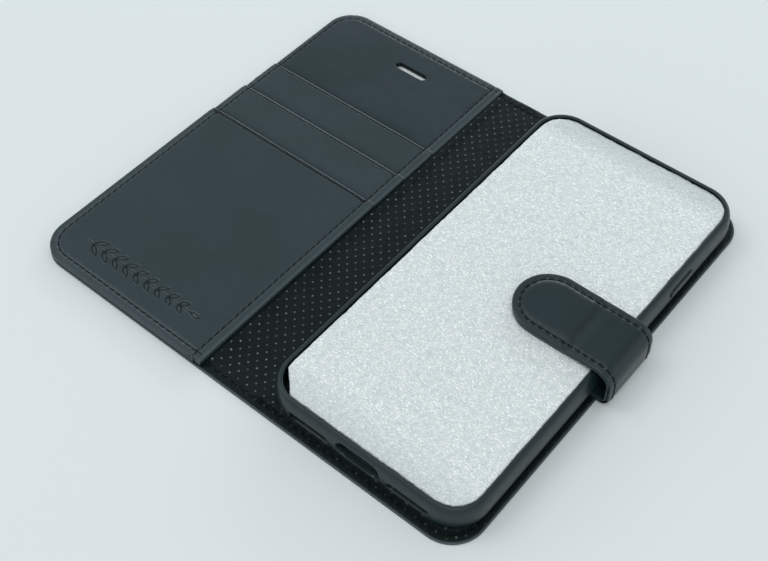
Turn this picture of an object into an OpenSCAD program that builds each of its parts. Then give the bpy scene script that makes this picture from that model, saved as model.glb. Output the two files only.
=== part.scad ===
// Phone wallet case: a folio cover lying open, with a phone tray, a foam insert and a closing strap.
// Millimetres. The origin is the centre of the back cover's resting face: +X towards the strap,
// +Y towards the top of the phone, +Z up from the table.

/* [Cover] */
// length of the cover along the folds
cover_length = 171.4; // [140:0.2:190]
// front cover, free edge to its fold
front_width = 87.2; // [70:0.1:100]
// fold to fold across the spine
spine_width = 16.8; // [12:0.1:20]
// radius of the four outer corners
corner_r = 12.5; // [4:0.5:20]
// leather skin thickness
skin_t = 0.7; // [0.5:0.05:1.2]
// stiffening board in the front cover
front_board_t = 0.8; // [0.5:0.1:1.5]
// stiffening board in the back cover
back_board_t = 1.2; // [0.5:0.1:2]
// dotted lining thickness
lining_t = 0.35; // [0.2:0.05:0.8]
// cover edge to the edge of the board
board_inset = 4.2; // [3:0.1:8]

/* [Card wallet] */
// base panel thickness
panel_t = 0.45; // [0.3:0.05:0.8]
// room for notes between lining and base panel
note_gap = 0.2; // [0.1:0.05:1]
// thickness of one card pocket layer
pocket_t = 0.4; // [0.3:0.05:0.8]
// height of the third, lowest, pocket mouth above the bottom edge
mouth_3 = 91.2; // [86:0.1:100]
// step from one pocket mouth to the next
mouth_step = 17.3; // [10:0.1:25]
// width of the folded hem on the spine side
hem_w = 4.8; // [3:0.1:8]
// hem edge to the front fold
hem_setback = 4.55; // [3:0.05:10]

/* [Phone tray] */
// outer width of the tray
tray_width = 82.1; // [65:0.1:90]
// outer length of the tray
tray_length = 164.8; // [130:0.1:175]
// outer corner radius of the tray
tray_r = 13; // [8:0.5:18]
// height from the tray's underside to the lip
tray_height = 10.4; // [8:0.1:14]
// floor thickness
tray_floor = 1; // [0.6:0.1:2]
// adhesive pad thickness
pad_t = 0.35; // [0.2:0.05:1]
// foam insert to the tray's outer face
foam_inset = 2.8; // [2.6:0.1:5]
// camera window width
camera_w = 35; // [15:1:40]
// camera window length
camera_l = 37; // [15:1:45]

/* [Strap] */
// strap width
strap_w = 25.4; // [18:0.2:30]
// thickness of one strap ply
ply_t = 1.1; // [0.6:0.05:1.5]
// thickness of the stiffener inside the tongue
stiffener_t = 1.3; // [0.8:0.1:2]
// tongue tip to the centre line of the case
tip_x = 1.5; // [-20:0.5:20]
// stiffened length of the tongue
stiff_l = 24.6; // [15:0.1:30]
// diameter of the strap's magnet
magnet_d = 12; // [8:0.5:16]

/* [Stitching] */
// length of one stitch
stitch_l = 2.2; // [1.5:0.1:4]
// stitch to stitch
stitch_pitch = 3.2; // [2:0.1:5]
// thread diameter
thread_d = 0.4; // [0.3:0.05:0.8]
// cover edge to the seam
seam_inset = 3.2; // [2:0.1:5]

/* [Hidden] */
$fn = 96;
eps = 0.01;
half_l = cover_length / 2;
edge_margin = 1.55;
fold_margin = 4.05;
back_edge = tray_width / 2 + edge_margin;
back_fold = -(tray_width / 2 + fold_margin);
front_fold = back_fold - spine_width;
free_edge = front_fold - front_width;
crease_half = 0.8;
hem_edge = front_fold - hem_setback;
hem_t = 0.4;

front_board_z = skin_t + front_board_t;
front_lining_z = front_board_z + lining_t;
panel_z = front_lining_z + note_gap;
stack_z = panel_z + panel_t;
flange_z = skin_t + lining_t;
mouths = [mouth_3 + 2 * mouth_step, mouth_3 + mouth_step, mouth_3];
pocket_step = 0.35;
slot_w = 15;
slot_h = 3.4;
slot_x = -102;
slot_y = half_l - 14.8;
plate_d = 14;
plate_x = front_fold - (tip_x + strap_w / 2 - back_fold);

back_board_z = skin_t + back_board_t;
back_lining_z = back_board_z + lining_t;
tray_z = back_lining_z + pad_t;
lip_z = tray_z + tray_height;
camera_x = tray_width / 2 - 4 - camera_w / 2;
camera_y = tray_length / 2 - 4 - camera_l / 2;
camera_r = 8;
wall_t = 2;
corner_gap = 1.3;
port_w = 17.4;
port_h = 6.4;
speaker_w = 17.8;
speaker_h = 4;
speaker_x = 20.6;
port_z = tray_z + 4.9;
speaker_z = tray_z + tray_floor + 0.1 + speaker_h / 2;
button_z = tray_z + 5.5;
button_h = 3;
button_gap = 0.15;
button_out = 0.6;
power_y = 40.5;
power_l = 14;
volume_l = 11;
volume_up_y = 50;
volume_down_y = 36;

strap_t = 2 * ply_t;
root_r = 2.3;
top_r = 5.9;
root_x = back_edge + 1.1;
root_z = 1.3;
web_x = root_x + root_r;
web_low = root_z + root_r;
web_high = 9.2;
top_x = web_x - top_r;
tongue_z = web_high + top_r;
tongue_under = lip_z + 0.1;
tongue_over = tongue_z + ply_t;
stiff_end = tip_x + stiff_l;
ramp = 2.2;
anchor_l = 12;
anchor_t = 1.1;
strap_seam = 2.6;

// ---- outlines, seen from above ----

// a rectangle from x0 to x1 whose corners at the x0 side have radius left_r and at the x1 side right_r
module outline(x0, x1, half, left_r, right_r) {
    difference() {
        translate([x0, -half]) square([x1 - x0, 2 * half]);
        for (s = [-1, 1]) {
            if (left_r > 0) corner_cut(x0, s * half, left_r, 1, -s);
            if (right_r > 0) corner_cut(x1, s * half, right_r, -1, -s);
        }
    }
}

// what a corner rounding of radius r takes away; sx and sy point into the rectangle
module corner_cut(x, y, r, sx, sy) {
    difference() {
        translate([min(x - sx, x + sx * r), min(y - sy, y + sy * r)]) square([r + 1, r + 1]);
        translate([x + sx * r, y + sy * r]) circle(r);
    }
}

module round_rect(w, l, r) {
    outline(-w / 2, w / 2, l / 2, r, r);
}

module obround(w, h) {
    square([w - h, h], center = true);
    for (s = [-1, 1]) translate([s * (w - h) / 2, 0]) circle(h / 2);
}

module slab(z0, z1) {
    translate([0, 0, z0]) linear_extrude(z1 - z0) children();
}

module camera_outline(grow) {
    translate([camera_x, camera_y]) round_rect(camera_w + 2 * grow, camera_l + 2 * grow, camera_r + grow);
}

module earpiece_slot(grow) {
    translate([slot_x, slot_y]) obround(slot_w + 2 * grow, slot_h + 2 * grow);
}

module front_outline(inset, fold_side) {
    outline(free_edge + inset, fold_side, half_l - inset, corner_r - inset, 0);
}

module back_outline(inset, fold_side) {
    outline(fold_side, back_edge - inset, half_l - inset, 0, corner_r - inset);
}

// ---- back cover ----

module back_skin() {
    color("#2b3136") slab(0, skin_t) difference() {
        back_outline(0, back_fold + crease_half);
        camera_outline(0);
    }
}

module back_board_outline() {
    difference() {
        outline(back_fold + 2.5, back_edge - board_inset, half_l - board_inset, 1, corner_r - board_inset);
        camera_outline(1.6);
        translate([back_edge - anchor_l - 0.2, -strap_w / 2 - 0.2]) square([anchor_l + 1, strap_w + 0.4]);
    }
}

module back_board() {
    color("#6d6a64") slab(skin_t, back_board_z) back_board_outline();
}

module back_lining() {
    color("#1d2023") difference() {
        union() {
            slab(skin_t, flange_z) back_outline(0.3, back_fold + crease_half);
            slab(skin_t, back_lining_z)
                outline(back_fold + 1.7, back_edge - board_inset + 0.8, half_l - board_inset + 0.8,
                    1.8, corner_r - board_inset + 0.8);
        }
        slab(skin_t - eps, back_board_z) back_board_outline();
        slab(skin_t - eps, skin_t + anchor_t) anchor_outline(0.1);
        slab(0, back_lining_z + 1) camera_outline(0);
    }
}

module tray_adhesive_pad() {
    color("#c9c6b8") slab(back_lining_z, tray_z) difference() {
        round_rect(tray_width - 14, tray_length - 14, tray_r - 6);
        camera_outline(2);
    }
}

module anchor_outline(gap) {
    translate([back_edge - anchor_l - gap, -strap_w / 2 - gap])
        square([anchor_l + gap + root_x - back_edge, strap_w + 2 * gap]);
}

module strap_anchor_tab() {
    color("#2b3136") slab(skin_t, skin_t + anchor_t) anchor_outline(0);
}

// section of the tray wall: x is outward from the nominal outer face, y is height above the underside
module wall_section() {
    polygon([
        [-6, 0], [-1.9, 0], [-1.1, 0.25], [-0.45, 0.9], [-0.1, 2], [0, 3.6], [0, 5.2], [-0.1, 7],
        [-0.35, 8.8], [-0.7, tray_height - 0.6], [-1.15, tray_height - 0.12], [-1.5, tray_height],
        [-2.25, tray_height], [-2.5, tray_height - 0.25], [-2.5, tray_height - 0.8],
        [-wall_t, tray_height - 1.2], [-wall_t, tray_floor], [-6, tray_floor]
    ]);
}

module wall_corner() {
    rotate_extrude(angle = 90) translate([tray_r, 0]) wall_section();
}

// a straight wall whose outer face is at +X, running along Y
module wall_run(length) {
    rotate([90, 0, 0]) linear_extrude(length, center = true) wall_section();
}

module tray_shell() {
    cx = tray_width / 2 - tray_r;
    cy = tray_length / 2 - tray_r;
    translate([cx, cy, 0]) wall_corner();
    translate([-cx, cy, 0]) rotate([0, 0, 90]) wall_corner();
    translate([-cx, -cy, 0]) rotate([0, 0, 180]) wall_corner();
    translate([cx, -cy, 0]) rotate([0, 0, 270]) wall_corner();
    for (a = [0, 180]) rotate([0, 0, a]) {
        translate([tray_width / 2, 0, 0]) wall_run(2 * cy);
        translate([0, tray_length / 2, 0]) rotate([0, 0, 90]) wall_run(2 * cx);
    }
    linear_extrude(tray_floor) round_rect(tray_width - 10, tray_length - 10, tray_r - 5);
}

// an obround cutter through the bottom wall
module bottom_opening(x, z, w, h) {
    translate([x, -tray_length / 2 + 3, z]) rotate([90, 0, 0]) linear_extrude(5) obround(w, h);
}

// an obround cutter or pad along a side wall, from x0 to x1
module side_obround(x0, x1, y, w, h) {
    translate([x0, y, button_z]) rotate([90, 0, 90]) linear_extrude(x1 - x0) obround(w, h);
}

module phone_tray() {
    outer = tray_width / 2;
    color("#25292c") difference() {
        translate([0, 0, tray_z]) tray_shell();
        slab(tray_z - 1, tray_z + 3) camera_outline(0);
        bottom_opening(0, port_z, port_w, port_h);
        for (s = [-1, 1]) bottom_opening(s * speaker_x, speaker_z, speaker_w, speaker_h);
        side_obround(outer - 3, outer + 1, power_y, power_l + 2 * button_gap, button_h + 2 * button_gap);
        for (y = [volume_up_y, volume_down_y])
            side_obround(-outer - 1, -outer + 3, y, volume_l + 2 * button_gap, button_h + 2 * button_gap);
    }
}

module foam_insert() {
    color("#dfe3e4") slab(tray_z + tray_floor, lip_z) difference() {
        round_rect(tray_width - 2 * foam_inset, tray_length - 2 * foam_inset, tray_r - foam_inset);
        translate([-tray_width / 2, -tray_length / 2]) rotate(45)
            square([2 * (0.414 * tray_r + foam_inset + corner_gap), 60], center = true);
    }
}

module power_button() {
    outer = tray_width / 2;
    color("#25292c") side_obround(outer - wall_t + 0.2, outer + button_out, power_y, power_l, button_h);
}

module volume_button(y) {
    outer = tray_width / 2;
    color("#25292c") side_obround(-outer - button_out, -outer + wall_t - 0.2, y, volume_l, button_h);
}

module volume_up_button() {
    volume_button(volume_up_y);
}

module volume_down_button() {
    volume_button(volume_down_y);
}

// ---- creases ----

module crease(x) {
    color("#23282c") slab(0, flange_z)
        translate([x - crease_half, -half_l]) square([2 * crease_half, cover_length]);
}

module back_crease() {
    crease(back_fold);
}

module front_crease() {
    crease(front_fold);
}

// ---- spine ----

module spine_outline() {
    translate([front_fold + crease_half, -half_l]) square([spine_width - 2 * crease_half, cover_length]);
}

module spine_skin() {
    color("#2b3136") slab(0, skin_t) spine_outline();
}

module spine_lining() {
    color("#1d2023") slab(skin_t, flange_z) spine_outline();
}

// ---- front cover ----

module front_skin() {
    color("#2b3136") slab(0, skin_t) difference() {
        front_outline(0, front_fold - crease_half);
        earpiece_slot(0);
    }
}

module front_board_outline() {
    outline(free_edge + board_inset, front_fold - 2.5, half_l - board_inset, corner_r - board_inset, 1);
}

module front_board() {
    color("#6d6a64") slab(skin_t, front_board_z) difference() {
        front_board_outline();
        earpiece_slot(1.5);
        translate([plate_x, 0]) circle(plate_d / 2 + 0.1);
    }
}

module closing_plate() {
    color("#8d9194") slab(skin_t, front_board_z) translate([plate_x, 0]) circle(plate_d / 2);
}

module front_lining() {
    color("#1d2023") difference() {
        union() {
            slab(skin_t, flange_z) front_outline(0.3, front_fold - crease_half);
            slab(skin_t, front_lining_z)
                outline(free_edge + board_inset - 0.8, front_fold - 1.7, half_l - board_inset + 0.8,
                    corner_r - board_inset + 0.8, 1.8);
        }
        slab(skin_t - eps, front_board_z) difference() {
            front_board_outline();
            earpiece_slot(1.5);
        }
        slab(0, front_lining_z + 1) earpiece_slot(0);
    }
}

module wallet_panel() {
    rim = board_inset - 1;
    color("#333b41") difference() {
        union() {
            slab(panel_z, stack_z) front_outline(0.9, hem_edge - hem_t);
            slab(flange_z, panel_z) difference() {
                front_outline(0.9, hem_edge - hem_t);
                outline(free_edge + rim, hem_edge + 1, half_l - rim, corner_r - rim, 0);
            }
        }
        slab(0, stack_z + 1) earpiece_slot(0);
    }
}

// pocket layer number i, cut off along its mouth
module pocket_layer(i) {
    z = stack_z + i * pocket_t;
    slab(z, z + pocket_t) intersection() {
        front_outline(0.9 - (i + 1) * 0.2, hem_edge - hem_t);
        translate([free_edge - 1, -half_l - 1]) square([front_width, mouths[i] + 1]);
    }
}

module card_pocket_1() {
    color("#333b41") pocket_layer(0);
}

module card_pocket_2() {
    color("#333b41") pocket_layer(1);
}

// the shape of one leaf, lying along +X
module leaf(l, w) {
    r = (l * l / 4 + w * w / 4) / w;
    intersection_for (s = [-1, 1]) translate([l / 2, s * (r - w / 2)]) circle(r);
}

module sprig() {
    translate([0, -0.3]) square([52, 0.6]);
    for (i = [0:8], s = [-1, 1])
        translate([3 + i * 5.4, s * 0.2]) rotate(s * 38) leaf(6.4 - 0.25 * i, 2);
    translate([51.5, 0]) leaf(5.5, 2);
}

module card_pocket_3() {
    color("#333b41") difference() {
        pocket_layer(2);
        slab(stack_z + 3 * pocket_t - 0.15, stack_z + 3 * pocket_t + 1)
            translate([free_edge + 13.5, -half_l + 13.2]) sprig();
    }
}

module hem_block(y0, y1, top) {
    translate([hem_edge - hem_w, y0, panel_z]) cube([hem_w, y1 - y0, top - panel_z + hem_t]);
}

module spine_side_hem() {
    color("#333b41") difference() {
        union() {
            hem_block(-half_l + 0.6, half_l - 0.6, stack_z);
            for (i = [0:2])
                hem_block(-half_l + 0.6, -half_l + mouths[i] - eps, stack_z + (i + 1) * pocket_t);
        }
        slab(panel_z - 1, stack_z)
            translate([hem_edge - hem_w - 1, -half_l]) square([hem_w + 1 - hem_t, cover_length]);
        for (i = [0:2])
            slab(stack_z + i * pocket_t - eps, stack_z + (i + 1) * pocket_t)
                translate([hem_edge - hem_w - 1, -half_l]) square([hem_w + 1 - hem_t, mouths[i]]);
    }
}

// ---- stitching ----

// a row of stitches from point a to point b, lying on height z
module stitch_row(a, b, z) {
    d = b - a;
    run = norm(d);
    n = floor(run / stitch_pitch);
    turn = atan2(d.y, d.x);
    for (i = [0:n - 1])
        translate([a.x, a.y, z]) rotate([0, 0, turn])
            translate([(i + 0.5) * run / n - stitch_l / 2, -thread_d / 2, 0])
                cube([stitch_l, thread_d, thread_d / 2]);
}

// stitches round a corner: centre c, radius r, from angle a0 to a0 + 90
module stitch_arc(c, r, a0, z) {
    n = round(r * PI / 2 / stitch_pitch);
    for (i = [0:n - 1])
        translate([c.x, c.y, z]) rotate([0, 0, a0 + (i + 0.5) * 90 / n])
            translate([r - thread_d / 2, -stitch_l / 2, 0]) cube([thread_d, stitch_l, thread_d / 2]);
}

module back_stitches() {
    y = half_l - seam_inset;
    x = back_edge - seam_inset;
    r = corner_r - seam_inset;
    color("#15181a") {
        for (s = [-1, 1]) {
            stitch_row([back_fold + 1.5, s * y], [x - r, s * y], flange_z);
            stitch_row([x, s * (strap_w / 2 + 1)], [x, s * (y - r)], flange_z);
        }
        stitch_arc([x - r, y - r], r, 0, flange_z);
        stitch_arc([x - r, r - y], r, 270, flange_z);
    }
}

module spine_stitches() {
    y = half_l - seam_inset;
    color("#15181a") for (s = [-1, 1])
        stitch_row([front_fold + 1.2, s * y], [back_fold - 1.2, s * y], flange_z);
}

module front_stitches() {
    y = half_l - seam_inset - 0.6;
    x = free_edge + seam_inset + 0.6;
    r = corner_r - seam_inset - 0.6;
    low = hem_edge - hem_w - 0.4;
    top_of = function (i) i < 0 ? stack_z : stack_z + (i + 1) * pocket_t;
    color("#15181a") {
        stitch_row([x + r, -y], [low, -y], top_of(2));
        stitch_row([x + r, y], [low, y], top_of(-1));
        stitch_row([x, r - y], [x, mouths[2] - half_l - 0.4], top_of(2));
        stitch_row([x, mouths[2] - half_l + 0.4], [x, mouths[1] - half_l - 0.4], top_of(1));
        stitch_row([x, mouths[1] - half_l + 0.4], [x, mouths[0] - half_l - 0.4], top_of(0));
        stitch_row([x, mouths[0] - half_l + 0.4], [x, y - r], top_of(-1));
        stitch_arc([x + r, y - r], r, 90, top_of(-1));
        stitch_arc([x + r, r - y], r, 180, top_of(2));
    }
}

module hem_stitches() {
    x = hem_edge - hem_w + 1;
    lift = hem_t;
    color("#15181a") {
        stitch_row([x, 1.6 - half_l], [x, mouths[2] - half_l - 0.4], stack_z + 3 * pocket_t + lift);
        stitch_row([x, mouths[2] - half_l + 0.4], [x, mouths[1] - half_l - 0.4], stack_z + 2 * pocket_t + lift);
        stitch_row([x, mouths[1] - half_l + 0.4], [x, mouths[0] - half_l - 0.4], stack_z + pocket_t + lift);
        stitch_row([x, mouths[0] - half_l + 0.4], [x, half_l - 1.6], stack_z + lift);
    }
}

// ---- strap ----

// extrudes a section drawn in x and z along Y, to the strap's width
module across_strap(width = strap_w) {
    rotate([90, 0, 0]) linear_extrude(width, center = true) children();
}

// a quarter ring between radii r0 and r1, in the quadrant that sx and sz point to
module quarter_ring(r0, r1, sx, sz) {
    intersection() {
        difference() {
            circle(r1);
            circle(r0);
        }
        translate([min(0, sx * 30), min(0, sz * 30)]) square([30, 30]);
    }
}

module strap_root_fold() {
    color("#2b3136") across_strap() translate([root_x, web_low]) {
        quarter_ring(root_r - ply_t, root_r, 1, -1);
        quarter_ring(root_r, root_r + ply_t, 1, -1);
    }
}

module strap_web_outer() {
    color("#2b3136") across_strap() translate([web_x, web_low]) square([ply_t, web_high - web_low]);
}

module strap_web_inner() {
    color("#2b3136") across_strap() translate([web_x - ply_t, web_low]) square([ply_t, web_high - web_low]);
}

module strap_top_fold() {
    color("#2b3136") across_strap() translate([top_x, web_high]) {
        quarter_ring(top_r - ply_t, top_r, 1, 1);
        quarter_ring(top_r, top_r + ply_t, 1, 1);
    }
}

// the tongue's outline from above, its rounded tip at -X
module tongue_outline(inset) {
    r = strap_w / 2 - inset;
    translate([tip_x + strap_w / 2, 0]) circle(r);
    translate([tip_x + strap_w / 2, -r]) square([top_x - tip_x - strap_w / 2, 2 * r]);
}

module tongue_ply(section) {
    intersection() {
        across_strap(strap_w + 2) polygon(section);
        slab(0, 30) tongue_outline(0);
    }
}

stiff_low = tongue_under + ply_t;
stiff_high = stiff_low + stiffener_t;

module tongue_outer() {
    color("#2b3136") difference() {
        tongue_ply([
            [tip_x - 1, stiff_low], [stiff_end + ramp, stiff_low], [stiff_end + 2 * ramp, tongue_z],
            [top_x, tongue_z], [top_x, tongue_over], [stiff_end + 1.5 * ramp, tongue_over],
            [stiff_end, stiff_high + ply_t * 0.8], [tip_x - 1, stiff_high + ply_t * 0.8]
        ]);
        slab(stiff_low - 1, stiff_high) stiffener_outline(0);
    }
}

module tongue_inner() {
    color("#2b3136") tongue_ply([
        [tip_x - 1, tongue_under], [stiff_end, tongue_under], [stiff_end + 2 * ramp, tongue_z - ply_t],
        [top_x, tongue_z - ply_t], [top_x, tongue_z], [stiff_end + 2 * ramp, tongue_z],
        [stiff_end + ramp, stiff_low], [tip_x - 1, stiff_low]
    ]);
}

module stiffener_outline(gap) {
    intersection() {
        tongue_outline(strap_seam + 0.9 + gap);
        translate([0, -strap_w]) square([stiff_end - gap, 2 * strap_w]);
    }
}

module tongue_stiffener() {
    color("#6d6a64") slab(stiff_low, stiff_high) difference() {
        stiffener_outline(0);
        translate([tip_x + strap_w / 2, 0]) circle(magnet_d / 2 + 0.05);
    }
}

module strap_magnet() {
    color("#9a9da0") slab(stiff_low, stiff_high) translate([tip_x + strap_w / 2, 0]) circle(magnet_d / 2);
}

module tongue_stitches() {
    r = strap_w / 2 - strap_seam;
    c = tip_x + strap_w / 2;
    high = stiff_high + ply_t * 0.8;
    color("#15181a") {
        for (s = [-1, 1]) {
            stitch_row([c, s * r], [stiff_end, s * r], high);
            stitch_row([stiff_end + 1.5 * ramp, s * r], [top_x - 0.4, s * r], tongue_over);
        }
        stitch_arc([c, 0], r, 90, high);
        stitch_arc([c, 0], r, 180, high);
    }
}

back_skin();
back_board();
back_lining();
tray_adhesive_pad();
phone_tray();
foam_insert();
power_button();
volume_up_button();
volume_down_button();
back_stitches();
strap_anchor_tab();
back_crease();
spine_skin();
spine_lining();
spine_stitches();
front_crease();
front_skin();
front_board();
closing_plate();
front_lining();
wallet_panel();
card_pocket_1();
card_pocket_2();
card_pocket_3();
spine_side_hem();
front_stitches();
hem_stitches();
strap_root_fold();
strap_web_outer();
strap_web_inner();
strap_top_fold();
tongue_outer();
tongue_inner();
tongue_stiffener();
strap_magnet();
tongue_stitches();
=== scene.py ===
import math
import random

import bmesh
import bpy
import numpy as np
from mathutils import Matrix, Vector, geometry


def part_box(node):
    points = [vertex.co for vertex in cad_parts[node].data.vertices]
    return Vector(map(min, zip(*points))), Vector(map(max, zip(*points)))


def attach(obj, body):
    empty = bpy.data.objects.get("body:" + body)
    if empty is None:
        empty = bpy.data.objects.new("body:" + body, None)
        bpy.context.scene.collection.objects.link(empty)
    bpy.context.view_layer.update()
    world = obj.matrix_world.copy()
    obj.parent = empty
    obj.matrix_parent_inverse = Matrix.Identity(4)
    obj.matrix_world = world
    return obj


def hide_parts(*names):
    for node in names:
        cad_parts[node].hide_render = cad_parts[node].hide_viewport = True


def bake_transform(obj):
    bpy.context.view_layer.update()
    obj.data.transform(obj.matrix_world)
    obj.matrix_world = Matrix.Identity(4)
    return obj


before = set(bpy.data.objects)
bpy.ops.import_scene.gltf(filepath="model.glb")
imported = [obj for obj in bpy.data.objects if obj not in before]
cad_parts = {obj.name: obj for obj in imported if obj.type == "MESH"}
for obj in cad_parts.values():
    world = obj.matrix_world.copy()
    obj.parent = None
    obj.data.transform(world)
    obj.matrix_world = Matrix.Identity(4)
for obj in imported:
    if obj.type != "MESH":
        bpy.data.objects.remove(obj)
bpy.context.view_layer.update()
random.seed(7)

# ---------------- sizes in mm, most of them read from the frame


def side(node, which, axis):
    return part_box(node)[which][axis] * 1000.0


HALF = side("back_skin", 1, 1)
FREE = side("front_skin", 0, 0)
BACK = side("back_skin", 1, 0)
FRONT_FOLD = (side("front_crease", 0, 0) + side("front_crease", 1, 0)) / 2
BACK_FOLD = (side("back_crease", 0, 0) + side("back_crease", 1, 0)) / 2
MID = (FRONT_FOLD + BACK_FOLD) / 2
CORNER = 12.5
HEM = side("spine_side_hem", 1, 0)
SEAM_HEM = HEM - 3.8
STACK = side("card_pocket_1", 0, 2)
LAYER = side("card_pocket_1", 1, 2) - STACK
MOUTHS = [side("card_pocket_%d" % i, 1, 1) for i in (1, 2, 3)]
TRAY_W = side("phone_tray", 1, 0)
TRAY_L = side("phone_tray", 1, 1)
TRAY_Z = side("phone_tray", 0, 2)
LIP = side("phone_tray", 1, 2)
TRAY_R = 13.0
STRAP_HALF = side("tongue_outer", 1, 1)
TIP = side("tongue_outer", 0, 0)
PANEL_UNDER = side("wallet_panel", 0, 2)
# the earpiece slot's middle, width and height
SLOT = (-102.0, HALF - 14.8, 15.0, 3.4)
# the camera window's width, length and corner radius, and its distance in from the tray's outer faces
CAMERA_W, CAMERA_L, CAMERA_R, CAMERA_IN = 35, 37, 8, 4
# stitch pitch, the seam's distance from the edge, and the pitch of the lining's dots
PITCH = 3.1
SEAM = 3.3
DOT_X = 3.95
DOT_Y = 4.6
# height of the lining's thread, and of the outer thread, which is as thick as it is high
LINING_THREAD = 1.17
OUTER_THREAD = 0.16

# ---------------- outlines


def arc(cx, cy, r, a0, a1, n=12):
    t = np.radians(np.linspace(a0, a1, n + 1))
    return [(cx + r * math.cos(a), cy + r * math.sin(a)) for a in t]


def rounded(x0, x1, y0, y1, r_left, r_right, n=12):
    """Anticlockwise box. Its left corners have one radius and its right corners another, or 0."""
    out = []
    for x, y, r, turn in ((x0, y0, r_left, 180), (x1, y0, r_right, 270),
                          (x1, y1, r_right, 0), (x0, y1, r_left, 90)):
        to_right, up = 1 if x == x0 else -1, 1 if y == y0 else -1
        out += arc(x + to_right * r, y + up * r, r, turn, turn + 90, n) if r else [(x, y)]
    return np.array(out)


def obround(cx, cy, w, h, n=12):
    r, k = min(w, h) / 2, abs(w - h) / 2
    if w >= h:
        return np.array(arc(cx + k, cy, r, -90, 90, n) + arc(cx - k, cy, r, 90, 270, n))
    return np.array(arc(cx, cy + k, r, 0, 180, n) + arc(cx, cy - k, r, 180, 360, n))


def dense(poly, step):
    """The closed outline with no gap longer than step."""
    out = []
    for p, q in zip(poly, np.roll(poly, -1, 0)):
        length = float(np.hypot(*(q - p)))
        if length < 1e-6:
            continue
        n = max(1, int(math.ceil(length / step)))
        out += [p + (q - p) * i / n for i in range(n)]
    return np.array(out)


def dense_line(points, step):
    """An open line with no gap longer than step."""
    out = []
    points = [np.array(p, float) for p in points]
    for p, q in zip(points, points[1:]):
        n = max(1, int(math.ceil(float(np.hypot(*(q - p))) / step)))
        out += [p + (q - p) * i / n for i in range(n)]
    return np.array(out + [points[-1]])


def distance(points, poly, keep=None, reach=7.0):
    """Distance of each point to the closed outline's edges, exact up to reach and large beyond it."""
    a, b = poly, np.roll(poly, -1, 0)
    if keep is not None:
        a, b = a[keep], b[keep]
    best = np.full(len(points), 99.0)
    order = np.argsort(points[:, 0])
    xs = points[order, 0]
    for p, q in zip(a, b):
        first = np.searchsorted(xs, min(p[0], q[0]) - reach)
        last = np.searchsorted(xs, max(p[0], q[0]) + reach)
        chosen = order[first:last]
        near = points[chosen]
        pick = (near[:, 1] > min(p[1], q[1]) - reach) & (near[:, 1] < max(p[1], q[1]) + reach)
        chosen, near = chosen[pick], near[pick]
        d = q - p
        t = np.clip(((near - p) @ d) / max(float(d @ d), 1e-12), 0, 1)
        best[chosen] = np.minimum(best[chosen], np.hypot(*(near - p - t[:, None] * d).T))
    return best


def inside(points, poly):
    x, y = points.T
    odd = np.zeros(len(points), bool)
    for (ax, ay), (bx, by) in zip(poly, np.roll(poly, -1, 0)):
        if ay == by:
            continue
        hit = ((ay > y) != (by > y)) & (x < (bx - ax) * (y - ay) / (by - ay) + ax)
        odd ^= hit
    return odd


def offset(poly, d):
    """The outline's points moved d to its left, which is inward on an anticlockwise outline."""
    t = np.roll(poly, -1, 0) - np.roll(poly, 1, 0)
    t = t / np.maximum(np.hypot(*t.T), 1e-9)[:, None]
    return poly + np.reshape(d, (-1, 1)) * np.column_stack([-t[:, 1], t[:, 0]])


def inward(x, y, edge, way):
    """Distance inward from the cover's outer edge. way is 1 for the front cover's free edge, on the left,
    and -1 for the back cover's edge, on the right."""
    px = (edge - x) * way + CORNER
    py = abs(y) - (HALF - CORNER)
    return CORNER - np.hypot(np.maximum(px, 0), np.maximum(py, 0)) - np.minimum(np.maximum(px, py), 0)


def fillet(d, r):
    t = np.clip(1 - d / max(r, 1e-6), 0, 1)
    return r * (1 - np.sqrt(np.maximum(0, 1 - t * t)))


def smooth(a, b, x):
    t = np.clip((x - a) / (b - a), 0, 1)
    return t * t * (3 - 2 * t)
def ridge(x, width):
    """1 where x is 0, falling off on both sides within about width."""
    return np.exp(-((x / width) ** 2))
def wave(x, y, size, seed):
    """Smooth uneven height from -1 to 1, with bumps about size mm long."""
    rng = np.random.default_rng(seed)
    out = 0
    for _ in range(7):
        a = rng.uniform(0, 2 * math.pi)
        k = 2 * math.pi / size * rng.uniform(0.6, 1.4)
        out = out + np.sin(k * (x * math.cos(a) + y * math.sin(a)) + rng.uniform(0, 6.3))
    return out / 7


# ---------------- mesh building


def build(name, verts, faces, material, rest=None, sharp=42, painted_light=None):
    me = bpy.data.meshes.new(name)
    me.from_pydata((np.asarray(verts) * 0.001).tolist(), [], faces)
    me.update()
    store = me.attributes.new("rest", "FLOAT_VECTOR", "POINT")
    store.data.foreach_set("vector", np.asarray(verts if rest is None else rest, np.float32).ravel())
    # A stored value for each point of painted light and shade, read by the leather materials.
    if painted_light is not None:
        me.attributes.new("painted_light", "FLOAT", "POINT").data.foreach_set("value", np.asarray(painted_light, np.float32))
    me.shade_smooth()
    me.set_sharp_from_angle(angle=math.radians(sharp))
    obj = bpy.data.objects.new(name, me)
    bpy.context.scene.collection.objects.link(obj)
    me.materials.append(material)
    return obj


def triangulate(loops, loose, cell):
    """Triangles over the loose points, with the loops kept as edges. One point is kept in each cell.
    Gives the points, the triangles and, for each point, the points given that it stands for."""
    points, lines = [], []
    for loop in loops:
        at = len(points)
        points += [tuple(p) for p in loop]
        lines += [(at + i, at + (i + 1) % len(loop)) for i in range(len(loop))]
    seen = {(round(x / cell), round(y / cell)) for x, y in points}
    for x, y in loose:
        key = (round(x / cell), round(y / cell))
        if key not in seen:
            seen.add(key)
            points.append((x, y))
    made = geometry.delaunay_2d_cdt([Vector(p) for p in points], lines, [], 0, 1e-6)
    return np.array([tuple(v) for v in made[0]]), np.array(made[2]), made[3]


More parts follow.
